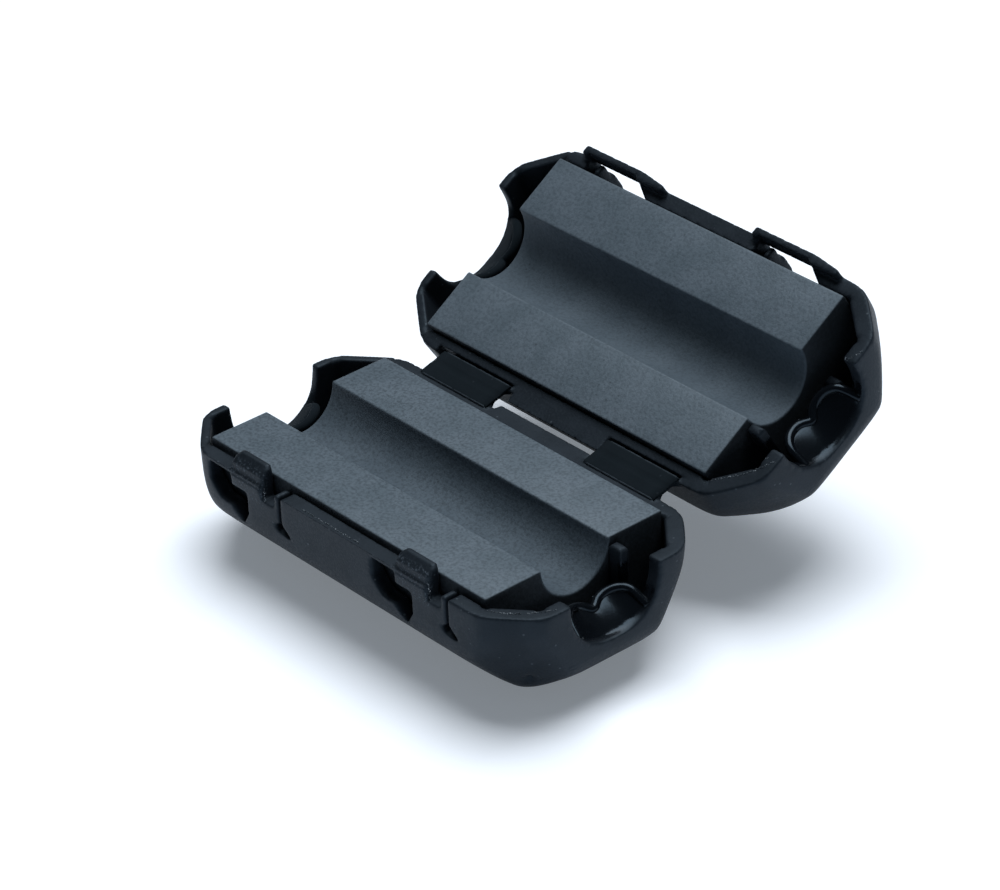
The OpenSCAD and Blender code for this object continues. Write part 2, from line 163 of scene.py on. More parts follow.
def outside_planes():
    """Normals and distances of the flat faces that bound the outside of one half."""
    side = unit((0, 4.07, -4.15))
    end = unit((2.7, 0, -4.2))
    corner = unit((3, 3.5, 0))
    trim = unit((1.67, 1.67, -1))
    tip = unit((2.7, 2.7, -8.4))
    side_at = side @ np.array([0, HALF_WIDTH, -3.95])
    end_at = end @ np.array([HALF_LENGTH, 0, -5.32])
    corner_at = corner @ np.array([12.6, 6.85, 0]) + 1.05
    trim_at = trim @ np.array([12.5, 6.8, -3.44]) + 0.6
    tip_at = tip @ np.array([11.6, 3.8, -8.02]) - 0.35
    found = [((0, 0, -1), -FLOOR_LEVEL)]
    for sy in (1, -1):
        found.append(((0, sy, 0), HALF_WIDTH))
        found.append((side * (1, sy, 1), side_at))
    for sx in (1, -1):
        move = END_SHIFT * sx
        thinner = THINNER_CORNER if sx < 0 else 0
        found.append(((sx, 0, 0), HALF_LENGTH + move))
        found.append((end * (sx, 1, 1), end_at + end[0] * move))
        for sy in (1, -1):
            found.append((corner * (sx, sy, 1), corner_at - thinner + corner[0] * move))
            found.append((trim * (sx, sy, 1), trim_at + trim[0] * move))
            found.append((tip * (sx, sy, 1), tip_at + tip[0] * move))
    return np.array([unit(n) for n, at in found]), np.array([at for n, at in found])


PLANES, PLANE_AT = outside_planes()


def outside_depth(points):
    """How far points lie outside the flat faces, and outside the soft form that blends them."""
    d = points @ PLANES.T - PLANE_AT
    top = d.max(1)
    e = np.exp(SOFTNESS * (d - top[:, None]))
    total = e.sum(1)
    return top, top + np.log(total) / SOFTNESS, (e / total[:, None]) @ PLANES


def finer(points, faces, away, nearest, lid):
    """One round of splitting every edge that is long for its place; None when none is."""
    sides = np.sort(faces[:, [[0, 1], [1, 2], [2, 0]]].reshape(-1, 2), axis=1)
    edges, of_side = np.unique(sides, axis=0, return_inverse=True)
    of_side = of_side.reshape(-1, 3)
    middle = points[edges].mean(1)
    length = np.linalg.norm(points[edges[:, 0]] - points[edges[:, 1]], axis=1)
    half = to_half(middle, lid)
    top, soft, _ = outside_depth(half)
    grown = FINE_EDGE + EDGE_GROWTH * np.maximum(away[edges].mean(1) - length / 2, 0)
    size = np.clip(grown, FINE_EDGE, COARSE_EDGE)
    blend = (top > -0.2) & (top < ON_SURFACE) & (soft > 0.004)
    size = np.where(blend, np.minimum(size, BLEND_EDGE), size)
    split = length > LONG_EDGE * size
    if not split.any():
        return None
    longest = of_side[np.arange(len(faces)), length[of_side].argmax(1)]
    while True:
        wanted = longest[split[of_side].any(1)]
        if split[wanted].all():
            break
        split[wanted] = True
    number = np.full(len(edges), -1)
    number[split] = len(points) + np.arange(split.sum())
    added = middle[split]
    points = np.concatenate([points, added])
    away = np.concatenate([away, [nearest(p) for p in added]])
    made = [faces[~split[of_side].any(1)]]
    touched = split[of_side].any(1)
    turn = (length[of_side].argmax(1)[touched, None] + np.arange(3)) % 3
    rows = np.arange(touched.sum())[:, None]
    a, b, c = faces[touched][rows, turn].T
    ab, bc, ca = number[of_side[touched]][rows, turn].T
    left, right = np.stack([a, ab, c], 1), np.stack([ab, b, c], 1)
    cut_left, cut_right = ca >= 0, bc >= 0
    made += [left[~cut_left], right[~cut_right]]
    made += [np.stack([a, ab, ca], 1)[cut_left], np.stack([ab, c, ca], 1)[cut_left]]
    made += [np.stack([ab, b, bc], 1)[cut_right], np.stack([ab, bc, c], 1)[cut_right]]
    return points, np.concatenate(made), away


def refined(node, lid, extra):
    """Points (mm) and triangles of a CAD node, small near its creases, soft blends and extra places."""
    bm = bmesh.new()
    bm.from_mesh(frame["nodes"][node].data)
    bmesh.ops.remove_doubles(bm, verts=bm.verts, dist=MERGE)
    bmesh.ops.triangulate(bm, faces=bm.faces)
    flat = [e for e in bm.edges if e.calc_face_angle(1) < 1e-3]
    bmesh.ops.beautify_fill(bm, faces=bm.faces, edges=flat)
    creases = [Vector(p) for p in extra]
    for e in bm.edges:
        if e.calc_face_angle(0) > math.radians(25):
            a, b = e.verts[0].co / MM, e.verts[1].co / MM
            n = max(1, int((b - a).length / (0.6 * FINE_EDGE)))
            creases += [a.lerp(b, i / n) for i in range(n + 1)]
    tree = kdtree.KDTree(len(creases))
    for i, p in enumerate(creases):
        tree.insert(p, i)
    tree.balance()
    bm.verts.index_update()
    points = np.array([v.co[:] for v in bm.verts]) / MM
    faces = np.array([[v.index for v in f.verts] for f in bm.faces])
    bm.free()

    def nearest(p):
        return tree.find(Vector(p))[2]

    away = np.array([nearest(p) for p in points])
    for _ in range(16):
        made = finer(points, faces, away, nearest, lid)
        if made is None:
            break
        points, faces, away = made
    return points, faces


def relaxed(points, faces, steps, amount=0.5):
    """Evens points out over their neighbours, which rounds every edge a little."""
    a, b = faces[:, [0, 1, 2]].ravel(), faces[:, [1, 2, 0]].ravel()
    count = np.bincount(a, minlength=len(points))[:, None]
    for _ in range(steps):
        total = np.stack([np.bincount(a, points[b, k], len(points)) for k in range(3)], 1)
        points = points + amount * (total / count - points)
    return points


def combed(points, faces, rounds=30):
    """Pulls the few points where the surface doubles back on itself in among their neighbours."""
    sides = np.sort(faces[:, [[0, 1], [1, 2], [2, 0]]].reshape(-1, 2), axis=1)
    pairs = np.lexsort((sides[:, 1], sides[:, 0])).reshape(-1, 2) // 3
    for _ in range(rounds):
        p = points[faces]
        normal = np.cross(p[:, 1] - p[:, 0], p[:, 2] - p[:, 0])
        normal /= np.maximum(np.linalg.norm(normal, axis=1), 1e-12)[:, None]
        folded = (normal[pairs[:, 0]] * normal[pairs[:, 1]]).sum(1) < -0.3
        if not folded.any():
            break
        caught = np.unique(faces[pairs[folded]])
        points = points.copy()
        points[caught] = relaxed(points, faces, 1, 0.7)[caught]
    return points


def facing(points, faces):
    """The outward direction at each point."""
    p = points[faces]
    normal = np.cross(p[:, 1] - p[:, 0], p[:, 2] - p[:, 0])
    shared = np.repeat(normal, 3, axis=0)
    total = np.stack([np.bincount(faces.ravel(), shared[:, k], len(points)) for k in range(3)], 1)
    return total / np.maximum(np.linalg.norm(total, axis=1), 1e-12)[:, None]


def smooth_step(value, low, high):
    """0 up to low and 1 from high, with an even slope between; low may be the larger."""
    t = np.clip((value - low) / (high - low), 0, 1)
    return t * t * (3 - 2 * t)


def grip_share(half):
    """1 on the soft grip lobes of one half, 0 on its hard walls."""
    x, radius = np.abs(half[:, 0] - END_SHIFT), np.hypot(half[:, 1], half[:, 2])
    inside = smooth_step(radius, 4.12, 3.95) * smooth_step(x, 13.0, 13.2) * smooth_step(x, 15.75, 15.6)
    return inside * smooth_step(half[:, 2], -1.2, -1.5) * smooth_step(np.abs(half[:, 1]), 3.2, 3.0)


def dull_share(half):
    """1 on the strap plates beside the folds and on the matte left grips, 0 on the walls; on the straps it
    also carries painted shade.
    """
    share = smooth_step(half[:, 1], HALF_WIDTH + 0.03, HALF_WIDTH + 0.06)
    inside = np.zeros(len(half))
    for first, last in STRAP_SPANS.values():
        inside = np.maximum(inside, (half[:, 0] > first - 0.1) & (half[:, 0] < last + 0.1))
    return np.maximum(share * inside, grip_share(half) * (half[:, 0] < 0))


def hook_share(half, lid):
    """1 on the heads of the two snap hooks, which are scuffed and carry painted highlight specks."""
    if lid:
        return np.zeros(len(half))
    found = smooth_step(half[:, 1], -7.45, -7.6) * smooth_step(half[:, 2], -1.9, -1.6)
    near = [smooth_step(np.abs(half[:, 0] - x), 1.75, 1.6) for x in HOOKS_AT]
    return found * np.maximum(*near)


def mark(mesh, **shares):
    """Stores shares as point attributes, which the nylon's material reads."""
    for label, values in shares.items():
        layer = mesh.attributes.new(label, "FLOAT", "POINT")
        layer.data.foreach_set("value", np.asarray(values, np.float32))


def linked(name, data):
    """A new object in the scene that holds a mesh, a camera or a light."""
    made = bpy.data.objects.new(name, data)
    bpy.context.scene.collection.objects.link(made)
    return made


def moulded(node, name, lid, material):
    """The shell as it comes out of the mould: soft blends outside and every edge rounded."""
    points, faces = refined(node, lid, [] if lid else [NICK_AT])
    half = to_half(points, lid)
    for _ in range(3):
        top, soft, slope = outside_depth(half)
        push = np.where((soft > 0) & (top < ON_SURFACE), soft, 0)
        half = half - slope * (push / (slope ** 2).sum(1))[:, None]
    half = relaxed(half, faces, 4)
    for _ in range(GRIP_ROUNDING):
        half = half + grip_share(half)[:, None] * (relaxed(half, faces, 1) - half)
    half = combed(half, faces)
    if not lid:
        nick = NICK_DEPTH * np.exp(-(np.linalg.norm(half - NICK_AT, axis=1) / NICK_RADIUS) ** 2)
        half = half - facing(half, faces) * nick[:, None]
    half = combed(relaxed(half, faces, 1), faces)
    mesh = bpy.data.meshes.new(name)
    mesh.from_pydata((from_half(half, lid) * MM).tolist(), [], faces.tolist())
    gloss = grip_share(half) * (half[:, 0] > 0)
    mark(mesh, gloss=gloss, dull=dull_share(half), scuff=hook_share(half, lid))
    mesh.polygons.foreach_set("use_smooth", [True] * len(faces))
    mesh.materials.append(material)
    piece = linked(name, mesh)
    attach(piece, "lid" if lid else "base")
    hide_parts(node)


# ---------------------------------------------------------------- grip lips

def lip_line():
    """Places along the free edge of a grip: how far out along the bead, and how far across."""
    corners = np.array([(x, -y) for x, y in LOBE_SIDE] + [LOBE_CLEFT] + LOBE_SIDE[::-1])
    run = np.concatenate([[0], np.cumsum(np.linalg.norm(np.diff(corners, axis=0), axis=1))])
    even = np.linspace(0, run[-1], 241)
    line = np.stack([np.interp(even, run, corners[:, k]) for k in (0, 1)], 1)
    for _ in range(LIP_ROUNDING):
        line[1:-1] += 0.5 * ((line[:-2] + line[2:]) / 2 - line[1:-1])
    return line[::3]


def tube(centre, over):
    """Points of a tube round a line, ring after ring; over points from the line to each ring's start."""
    ahead = np.gradient(centre, axis=0)
    ahead /= np.linalg.norm(ahead, axis=1)[:, None]
    over = over - ahead * (over * ahead).sum(1)[:, None]
    over /= np.linalg.norm(over, axis=1)[:, None]
    across = np.cross(ahead, over)
    turn = np.linspace(0, 2 * math.pi, LIP_SIDES, endpoint=False)[:, None]
    rings = over[:, None] * np.cos(turn) + across[:, None] * np.sin(turn)
    return (centre[:, None] + LIP_RADIUS * rings).reshape(-1, 3)


def tube_faces(first, rings):
    """Faces of a closed tube whose points start at number first."""
    faces = []
    for start in range(first, first + (rings - 1) * LIP_SIDES, LIP_SIDES):
        for k in range(LIP_SIDES):
            a, b = start + k, start + (k + 1) % LIP_SIDES
            faces.append((a, b, b + LIP_SIDES, a + LIP_SIDES))
    last = first + (rings - 1) * LIP_SIDES
    return faces + [tuple(range(first, first + LIP_SIDES))[::-1], tuple(range(last, last + LIP_SIDES))]


def grip_lips(name, lid, material):
    """The thick rounded edge of both grips of one half, a tube along each lobed edge."""
    line = lip_line()
    lean = (GRIP_ROOT[1] - GRIP_TIP[1]) / (GRIP_ROOT[0] - GRIP_TIP[0])
    radius = GRIP_TIP[1] + (line[:, 0] - GRIP_TIP[0]) * lean
    down = -np.sqrt(radius ** 2 - line[:, 1] ** 2)
    points, faces = np.zeros((0, 3)), []
    for end in (-1, 1):
        centre = np.stack([END_SHIFT + end * line[:, 0], line[:, 1], down], 1)
        faces += tube_faces(len(points), len(centre))
        points = np.concatenate([points, tube(centre, centre * (0, 1, 1) / radius[:, None])])
    gloss = (points[:, 0] > 0) * 1.0
    mesh = bpy.data.meshes.new(name)
    mesh.from_pydata((from_half(points, lid) * MM).tolist(), [], faces)
    bm = bmesh.new()
    bm.from_mesh(mesh)
    bmesh.ops.recalc_face_normals(bm, faces=bm.faces)
    bm.to_mesh(mesh)
    bm.free()
    mark(mesh, gloss=gloss, dull=1 - gloss, scuff=0 * gloss)
    mesh.polygons.foreach_set("use_smooth", [len(f) == 4 for f in faces])
    mesh.materials.append(material)
    piece = linked(name, mesh)
    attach(piece, "lid" if lid else "base")


# ---------------------------------------------------------------- hinge folds

def hinge_fold(name, span, material):
    """The thin fold between two strap plates, its upper skin running out over the plates."""
    rows, columns = 45, 9
    bm = bmesh.new()
    grid = {}
    along = Vector((0, math.cos(STRAP_TILT), math.sin(STRAP_TILT)))
    up = Vector((0, -math.sin(STRAP_TILT), math.cos(STRAP_TILT)))
    for level in (0, 1):
        for i in range(rows):
            for j in range(columns):
                s = sum(FOLD_ENDS) * i / (rows - 1) - FOLD_ENDS[0]
                past = max(0, (abs(s) - FOLD_REACH) / (FOLD_ENDS[s > 0] - FOLD_REACH))
                waist = FOLD_WAIST * (1 - min(1, abs(s) / FOLD_REACH) ** 2)
                top = FOLD_LIFT - waist - 0.08 * past ** 20
                depth = top - FOLD_THICKNESS + waist + 0.08 * past if level else top
                x = span[0] + (span[1] - span[0]) * j / (columns - 1)
                place = Vector((x, FOLD_Y, 0)) + along * s + up * depth
                grid[level, i, j] = bm.verts.new(place * MM)
    for i in range(rows - 1):
        for j in range(columns - 1):
            quad = [(i, j), (i, j + 1), (i + 1, j + 1), (i + 1, j)]
            bm.faces.new([grid[0, a, b] for a, b in quad])
            bm.faces.new([grid[1, a, b] for a, b in reversed(quad)])
    rim = [(0, j) for j in range(columns)] + [(i, columns - 1) for i in range(1, rows)]
    rim += [(rows - 1, j) for j in range(columns - 2, -1, -1)] + [(i, 0) for i in range(rows - 2, 0, -1)]
    for (a, b), (c, d) in zip(rim, rim[1:] + rim[:1]):
        bm.faces.new([grid[1, a, b], grid[1, c, d], grid[0, c, d], grid[0, a, b]])
    bmesh.ops.recalc_face_normals(bm, faces=bm.faces)
    for f in bm.faces:
        f.smooth = len({round(v.co.x, 7) for v in f.verts}) > 1
    mesh = bpy.data.meshes.new(name)
    bm.to_mesh(mesh)
    bm.free()
    mesh.materials.append(material)
    none = np.zeros(len(mesh.vertices))
    mark(mesh, gloss=none, dull=1 - none, scuff=none)
    piece = linked(name, mesh)
    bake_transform(piece)
    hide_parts(name.replace("fold", "web"))


# ---------------------------------------------------------------- shader groups

def group(name, inputs, outputs):
    """An empty shader node group with named inputs and outputs."""
    tree = bpy.data.node_groups.new(name, "ShaderNodeTree")
    for label, kind, value in inputs:
        socket = tree.interface.new_socket(label, in_out="INPUT", socket_type=kind)
        if value is not None:
            socket.default_value = value
    for label, kind in outputs:
        tree.interface.new_socket(label, in_out="OUTPUT", socket_type=kind)
    return tree, tree.nodes.new("NodeGroupInput"), tree.nodes.new("NodeGroupOutput")


def node(tree, kind, inputs=None, **settings):
    """A node with its settings, its numbers and its links."""
    made = tree.nodes.new(kind)
    for key, value in settings.items():
        setattr(made, key, value)
    for key, value in (inputs or {}).items():
        if isinstance(value, bpy.types.NodeSocket):
            tree.links.new(value, made.inputs[key])
        else:
            made.inputs[key].default_value = value
    return made


def ramp(tree, value, low, high, to_low=0.0, to_high=1.0):
    """Value moved smoothly from the range low to high into the range to_low to to_high."""
    return node(tree, "ShaderNodeMapRange", {0: value, 1: low, 2: high, 3: to_low, 4: to_high},
                interpolation_type="SMOOTHSTEP").outputs[0]


def maths(tree, operation, a, b=0.0):
    return node(tree, "ShaderNodeMath", {0: a, 1: b}, operation=operation).outputs[0]


def object_place(tree):
    return tree.nodes.new("ShaderNodeTexCoord").outputs["Object"]


def grain_group():
    """Cloudy patches, fine grain and pits; sizes are in millimetres."""
    tree, given, out = group(
        "surface grain",
        [("Cloud size", "NodeSocketFloat", 2.0), ("Grain size", "NodeSocketFloat", 0.2),
         ("Pit size", "NodeSocketFloat", 0.4), ("Pit share", "NodeSocketFloat", 0.1)],
        [("Cloud", "NodeSocketFloat"), ("Grain", "NodeSocketFloat"), ("Pits", "NodeSocketFloat")])
    place = object_place(tree)
    cloud_scale = maths(tree, "DIVIDE", 1000.0, given.outputs["Cloud size"])
    grain_scale = maths(tree, "DIVIDE", 1000.0, given.outputs["Grain size"])
    pit_scale = maths(tree, "DIVIDE", 1000.0, given.outputs["Pit size"])
    cloud = node(tree, "ShaderNodeTexNoise", {"Vector": place, "Scale": cloud_scale, "Detail": 3.0})
    grain = node(tree, "ShaderNodeTexNoise",
                 {"Vector": place, "Scale": grain_scale, "Detail": 4.0, "Roughness": 0.6})
    pits = node(tree, "ShaderNodeTexVoronoi", {"Vector": place, "Scale": pit_scale})
    kind = node(tree, "ShaderNodeSeparateColor", {0: pits.outputs["Color"]}).outputs[0]
    chosen = maths(tree, "LESS_THAN", kind, given.outputs["Pit share"])
    dot = ramp(tree, pits.outputs["Distance"], 0.32, 0.14)
    tree.links.new(cloud.outputs[0], out.inputs["Cloud"])
    tree.links.new(grain.outputs[0], out.inputs["Grain"])
    tree.links.new(maths(tree, "MULTIPLY", chosen, dot), out.inputs["Pits"])
    return tree


def edge_group():
    """A rounded normal for sharp edges, and a broken mask along them where they are worn, which on the nylon
    also places painted highlight specks.
    """
    tree, given, out = group(
        "edge wear",
        [("Radius", "NodeSocketFloat", 0.1), ("Break size", "NodeSocketFloat", 0.6),
         ("Amount", "NodeSocketFloat", 0.5)],
        [("Normal", "NodeSocketVector"), ("Wear", "NodeSocketFloat")])
    radius = maths(tree, "MULTIPLY", given.outputs["Radius"], MM)
    soft = node(tree, "ShaderNodeBevel", {"Radius": radius}, samples=4)
    flat = tree.nodes.new("ShaderNodeNewGeometry")
    same = node(tree, "ShaderNodeVectorMath",
                {0: soft.outputs[0], 1: flat.outputs["Normal"]}, operation="DOT_PRODUCT").outputs["Value"]
    edge = ramp(tree, same, 0.995, 0.85)
    scale = maths(tree, "DIVIDE", 1000.0, given.outputs["Break size"])
    broken = node(tree, "ShaderNodeTexNoise", {"Vector": object_place(tree), "Scale": scale, "Detail": 5.0})
    patch = ramp(tree, broken.outputs[0], 0.48, 0.66)
    wear_and_glint = maths(tree, "MULTIPLY", maths(tree, "MULTIPLY", edge, patch), given.outputs["Amount"])
    tree.links.new(soft.outputs[0], out.inputs["Normal"])
    tree.links.new(wear_and_glint, out.inputs["Wear"])
    return tree


GRAIN = grain_group()
EDGES = edge_group()


def use(tree, shared, values):
    """The outputs of a shared node group that is set to these values."""
    made = tree.nodes.new("ShaderNodeGroup")
    made.node_tree = shared
    for key, value in values.items():
        made.inputs[key].default_value = value
    return made.outputs


def mixed(tree, share, first, second):
    """Colour first where share is 0 and second where it is 1."""
    made = tree.nodes.new("ShaderNodeMix")
    made.data_type = "RGBA"
    for key, value in (("Factor_Float", share), ("A_Color", first), ("B_Color", second)):
        socket = next(s for s in made.inputs if s.identifier == key)
        if isinstance(value, bpy.types.NodeSocket):
            tree.links.new(value, socket)
        else:
            socket.default_value = (*value, 1) if isinstance(value, tuple) else value
    return next(s for s in made.outputs if s.identifier == "Result_Color")


def material(name):
    """A new material with its node tree and its Principled shader."""
    made = bpy.data.materials.new(name)
    made.use_nodes = True
    tree = made.node_tree
    return made, tree, tree.nodes["Principled BSDF"]


def wire(tree, value, shader, socket):
    tree.links.new(value, shader.inputs[socket])


def attribute(tree, name):
    return node(tree, "ShaderNodeAttribute", attribute_name=name).outputs["Fac"]


def blended(tree, share, first, second):
    """Value first where share is 0 and second where it is 1."""
    return node(tree, "ShaderNodeMix", {0: share, 2: first, 3: second}, data_type="FLOAT").outputs[0]


def nylon(name):
    """Black moulded nylon: clouded, finely grained, scuffed at its edges and hook heads with painted
    highlight specks among the scuffs, darkened with painted shade on the straps, glossy on the soft grips.
    """
    made, tree, shader = material(name)
    grain = use(tree, GRAIN, {"Cloud size": 2.2, "Grain size": 0.14, "Pit size": 0.3, "Pit share": 0.025})
    edge = use(tree, EDGES, {"Radius": 0.07, "Break size": 0.3, "Amount": 0.7})
    gloss, dull, scuff = (attribute(tree, label) for label in ("gloss", "dull", "scuff"))
    cloud = ramp(tree, grain["Cloud"], 0.35, 0.65)
    body = mixed(tree, cloud, (0.0062, 0.0088, 0.0125), (0.01, 0.0138, 0.019))
    # Lighter specks on the hook heads: partly scuffing, partly painted highlight.
    scuffs = maths(tree, "MULTIPLY", ramp(tree, grain["Grain"], 0.52, 0.66), scuff)
    grained = mixed(tree, ramp(tree, grain["Grain"], 0.45, 0.75, 0.0, 0.35), body, (0.02, 0.026, 0.034))
    scuffed = mixed(tree, scuffs, grained, (0.05, 0.066, 0.084))
    specked = mixed(tree, maths(tree, "MULTIPLY", grain["Pits"], 0.3), scuffed, (0.12, 0.15, 0.18))
    # Edges get lighter specks: partly worn nylon, partly painted highlight.
    wear_and_glint = mixed(tree, edge["Wear"], specked, (0.09, 0.115, 0.14))
    # Strap plates and folds are darkened here with painted shade; the left grips take their own near-black
    # tone.
    dulled = mixed(tree, maths(tree, "MULTIPLY", dull, 0.8), wear_and_glint, (0.002, 0.004, 0.0055))
    wire(tree, mixed(tree, gloss, dulled, (0.0025, 0.0035, 0.005)), shader, "Base Color")
    rough = blended(tree, dull, ramp(tree, grain["Grain"], 0.3, 0.7, 0.46, 0.6), 0.95)
    wire(tree, blended(tree, gloss, rough, 0.16), shader, "Roughness")
    shader.inputs["Specular IOR Level"].default_value = 0.22
    shader.inputs["Specular Tint"].default_value = (0.55, 0.78, 1.0, 1)
    strength = blended(tree, gloss, blended(tree, scuff, 0.5, 1.0), 0.12)
    relief = node(tree, "ShaderNodeBump", {"Height": grain["Grain"], "Normal": edge["Normal"],
                                           "Strength": strength, "Distance": 0.02 * MM})
    wire(tree, relief.outputs[0], shader, "Normal")
    return made


def ferrite(name, face_point, face_normal, coarse):
    """Sintered ferrite: near-black skin, its darkness partly painted shade, a matte groove and a paler
    ground face with grinding lines.
    """
    made, tree, shader = material(name)
    grain = use(tree, GRAIN, {"Cloud size": 3.0, "Grain size": 0.2, "Pit size": 0.3, "Pit share": 0.05})
    edge = use(tree, EDGES, {"Radius": 0.07, "Break size": 0.4, "Amount": 0.12})
    place = object_place(tree)
    offset = node(tree, "ShaderNodeVectorMath", {0: place, 1: face_point}, operation="SUBTRACT").outputs[0]
    height = node(tree, "ShaderNodeVectorMath", {0: offset, 1: face_normal},
                  operation="DOT_PRODUCT").outputs["Value"]
    across = node(tree, "ShaderNodeVectorMath", {0: offset, 1: (0.0, 1.0, 1.0)},
                  operation="MULTIPLY").outputs[0]
    radius = node(tree, "ShaderNodeVectorMath", {0: across}, operation="LENGTH").outputs["Value"]
    ground = ramp(tree, height, -0.12 * MM, -0.05 * MM)
    bored = ramp(tree, radius, 2.75 * MM, 2.6 * MM)
    lines = node(tree, "ShaderNodeMapping", {"Vector": place, "Scale": (60.0, 4000.0, 4000.0)})
    scratch = node(tree, "ShaderNodeTexNoise", {"Vector": lines.outputs[0], "Scale": 1.0, "Detail": 3.0})
    cloud = ramp(tree, grain["Cloud"], 0.35, 0.65)
    groove = mixed(tree, cloud, (0.05, 0.07, 0.09), (0.06, 0.082, 0.104))
    face = mixed(tree, cloud, (0.07, 0.096, 0.12), (0.086, 0.114, 0.142))
    # The sides and ends are near-black: partly the sintered skin's own tone, partly painted shade of faces
    # turned from the lamp.
    skin = mixed(tree, bored, (0.009, 0.012, 0.016), groove)
    toned = mixed(tree, ground, skin, face)
    mottled = mixed(tree, ramp(tree, grain["Grain"], 0.3, 0.62, coarse, 0.0), toned, (0.02, 0.028, 0.036))
    # Pits are dark dots with no relief: painted shade inside the pores.
    pit_shaded = mixed(tree, maths(tree, "MULTIPLY", grain["Pits"], 0.4), mottled, (0.012, 0.016, 0.02))
    wire(tree, mixed(tree, edge["Wear"], pit_shaded, (0.16, 0.2, 0.24)), shader, "Base Color")
    wire(tree, ramp(tree, ground, 0.0, 1.0, 0.75, 0.5), shader, "Roughness")
    shader.inputs["Specular IOR Level"].default_value = 0.35
    shader.inputs["Specular Tint"].default_value = (0.7, 0.86, 1.0, 1)
    fine = maths(tree, "MULTIPLY_ADD", scratch.outputs[0], 0.25)
    tree.links.new(grain["Grain"], fine.node.inputs[2])
    relief = node(tree, "ShaderNodeBump", {"Height": fine, "Normal": edge["Normal"],
                                           "Strength": 0.7, "Distance": 0.04 * MM})
    wire(tree, relief.outputs[0], shader, "Normal")
    return made


def rounded_core(core, name, material):
    """A half-core with the small broken edges that sintering and grinding leave."""
    bm = bmesh.new()
    bm.from_mesh(frame["nodes"][core].data)
    bmesh.ops.remove_doubles(bm, verts=bm.verts, dist=MERGE)
    bmesh.ops.dissolve_limit(bm, angle_limit=math.radians(0.3), verts=bm.verts, edges=bm.edges)
    sharp = [e for e in bm.edges if e.calc_face_angle(0) > math.radians(30)]
    bmesh.ops.bevel(bm, geom=sharp, offset=CORE_EDGE * MM, segments=3, profile=0.5, affect="EDGES",
                    clamp_overlap=True)
    bmesh.ops.triangulate(bm, faces=bm.faces)
    for f in bm.faces:
        f.smooth = True
    for e in bm.edges:
        e.smooth = e.calc_face_angle(0) < math.radians(35)
    mesh = bpy.data.meshes.new(name)
    bm.to_mesh(mesh)
    bm.free()
    mesh.materials.append(material)
    piece = linked(name, mesh)
    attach(piece, "lid" if core == "upper_core" else "base")
    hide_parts(core)


HOUSING = nylon("housing_nylon")
moulded("base_shell", "base_housing", False, HOUSING)
moulded("lid_shell", "lid_housing", True, HOUSING)
grip_lips("base_grip_lips", False, HOUSING)
grip_lips("lid_grip_lips", True, HOUSING)
for fold, span in STRAP_SPANS.items():
    hinge_fold(fold, span, HOUSING)

# Each core's material knows the middle of its ground face, the way that face looks, and its coarseness.
groove_and_above = from_half(np.array([[0.0, 0.0, 0.0], [0.0, 0.0, 1.0]]), True)
lid_middle, lid_above = (Vector(p) for p in groove_and_above)
lid_face = tuple(lid_middle * MM)
lid_up = tuple(lid_above - lid_middle)
for core, point, normal, coarse in (("lower_core", (0, 0, 0), (0, 0, 1), 0.6),
                                    ("upper_core", lid_face, lid_up, 0.42)):
    rounded_core(core, core.replace("core", "ferrite"), ferrite(core + "_ferrite", point, normal, coarse))


# ---------------------------------------------------------------- camera, floor and light

def camera():
    """The view from the right front, with a little roll and the bead a little off the middle."""
    azimuth, elevation, roll = math.radians(50.0), math.radians(31.062), math.radians(-2.374)
    aside, above, distance = 3.967, 1.588, 257.58
    back = Vector((math.sin(azimuth) * math.cos(elevation),
                   -math.cos(azimuth) * math.cos(elevation),
                   math.sin(elevation)))
    level = Vector((math.cos(azimuth), math.sin(azimuth), 0))
    upright = back.cross(level)
    right = level * math.cos(roll) + upright * math.sin(roll)
    up = upright * math.cos(roll) - level * math.sin(roll)
    data = bpy.data.cameras.new("camera")
    made = linked("camera", data)
    place = (aside * right + above * up + distance * back) * MM
    turn = Matrix((right, up, back)).transposed().to_4x4()
    made.matrix_world = Matrix.Translation(place) @ turn
    data.sensor_width = 36.0
    data.lens = 157.42
    data.clip_start = 0.01
    data.clip_end = 10.0
    bpy.context.scene.camera = made


def floor():
    """A wide pale floor just under the bead, which looks white and keeps the shadow."""
    half = 2.0
    level = (FLOOR_LEVEL - 0.01) * MM
    corners = [(-half, -half, level), (half, -half, level), (half, half, level), (-half, half, level)]
    mesh = bpy.data.meshes.new("floor")
    mesh.from_pydata(corners, [], [(0, 1, 2, 3)])
    made, tree, shader = material("floor_white")
    shader.inputs["Base Color"].default_value = (0.78, 0.84, 0.92, 1)
    shader.inputs["Roughness"].default_value = 0.9
    shader.inputs["Specular IOR Level"].default_value = 0.1
    seen = node(tree, "ShaderNodeLightPath").outputs
    straight = maths(tree, "MAXIMUM", seen["Is Camera Ray"], seen["Is Glossy Ray"])
    straight = maths(tree, "MAXIMUM", straight, seen["Is Transmission Ray"])
    wire(tree, maths(tree, "MULTIPLY", straight, 0.22), shader, "Emission Strength")
    shader.inputs["Emission Color"].default_value = (0.84, 0.92, 1, 1)
    mesh.materials.append(made)
    linked("floor", mesh)


def softbox(name, place, size, power):
    """A square soft light that looks at the middle of the open bead; places are in metres."""
    middle = Vector((0, 0.008, 0))
    data = bpy.data.lights.new(name, "AREA")
    data.energy = power
    data.size = size
    made = linked(name, data)
    made.location = place
    made.rotation_euler = (middle - Vector(place)).to_track_quat("-Z", "Y").to_euler()


def world(strength):
    """Faint cool light from all round."""
    made = bpy.data.worlds.new("studio")
    made.use_nodes = True
    made.node_tree.nodes["Background"].inputs["Color"].default_value = (0.8, 0.9, 1, 1)
    made.node_tree.nodes["Background"].inputs["Strength"].default_value = strength
    bpy.context.scene.world = made


# ---------------------------------------------------------------- moulding flash

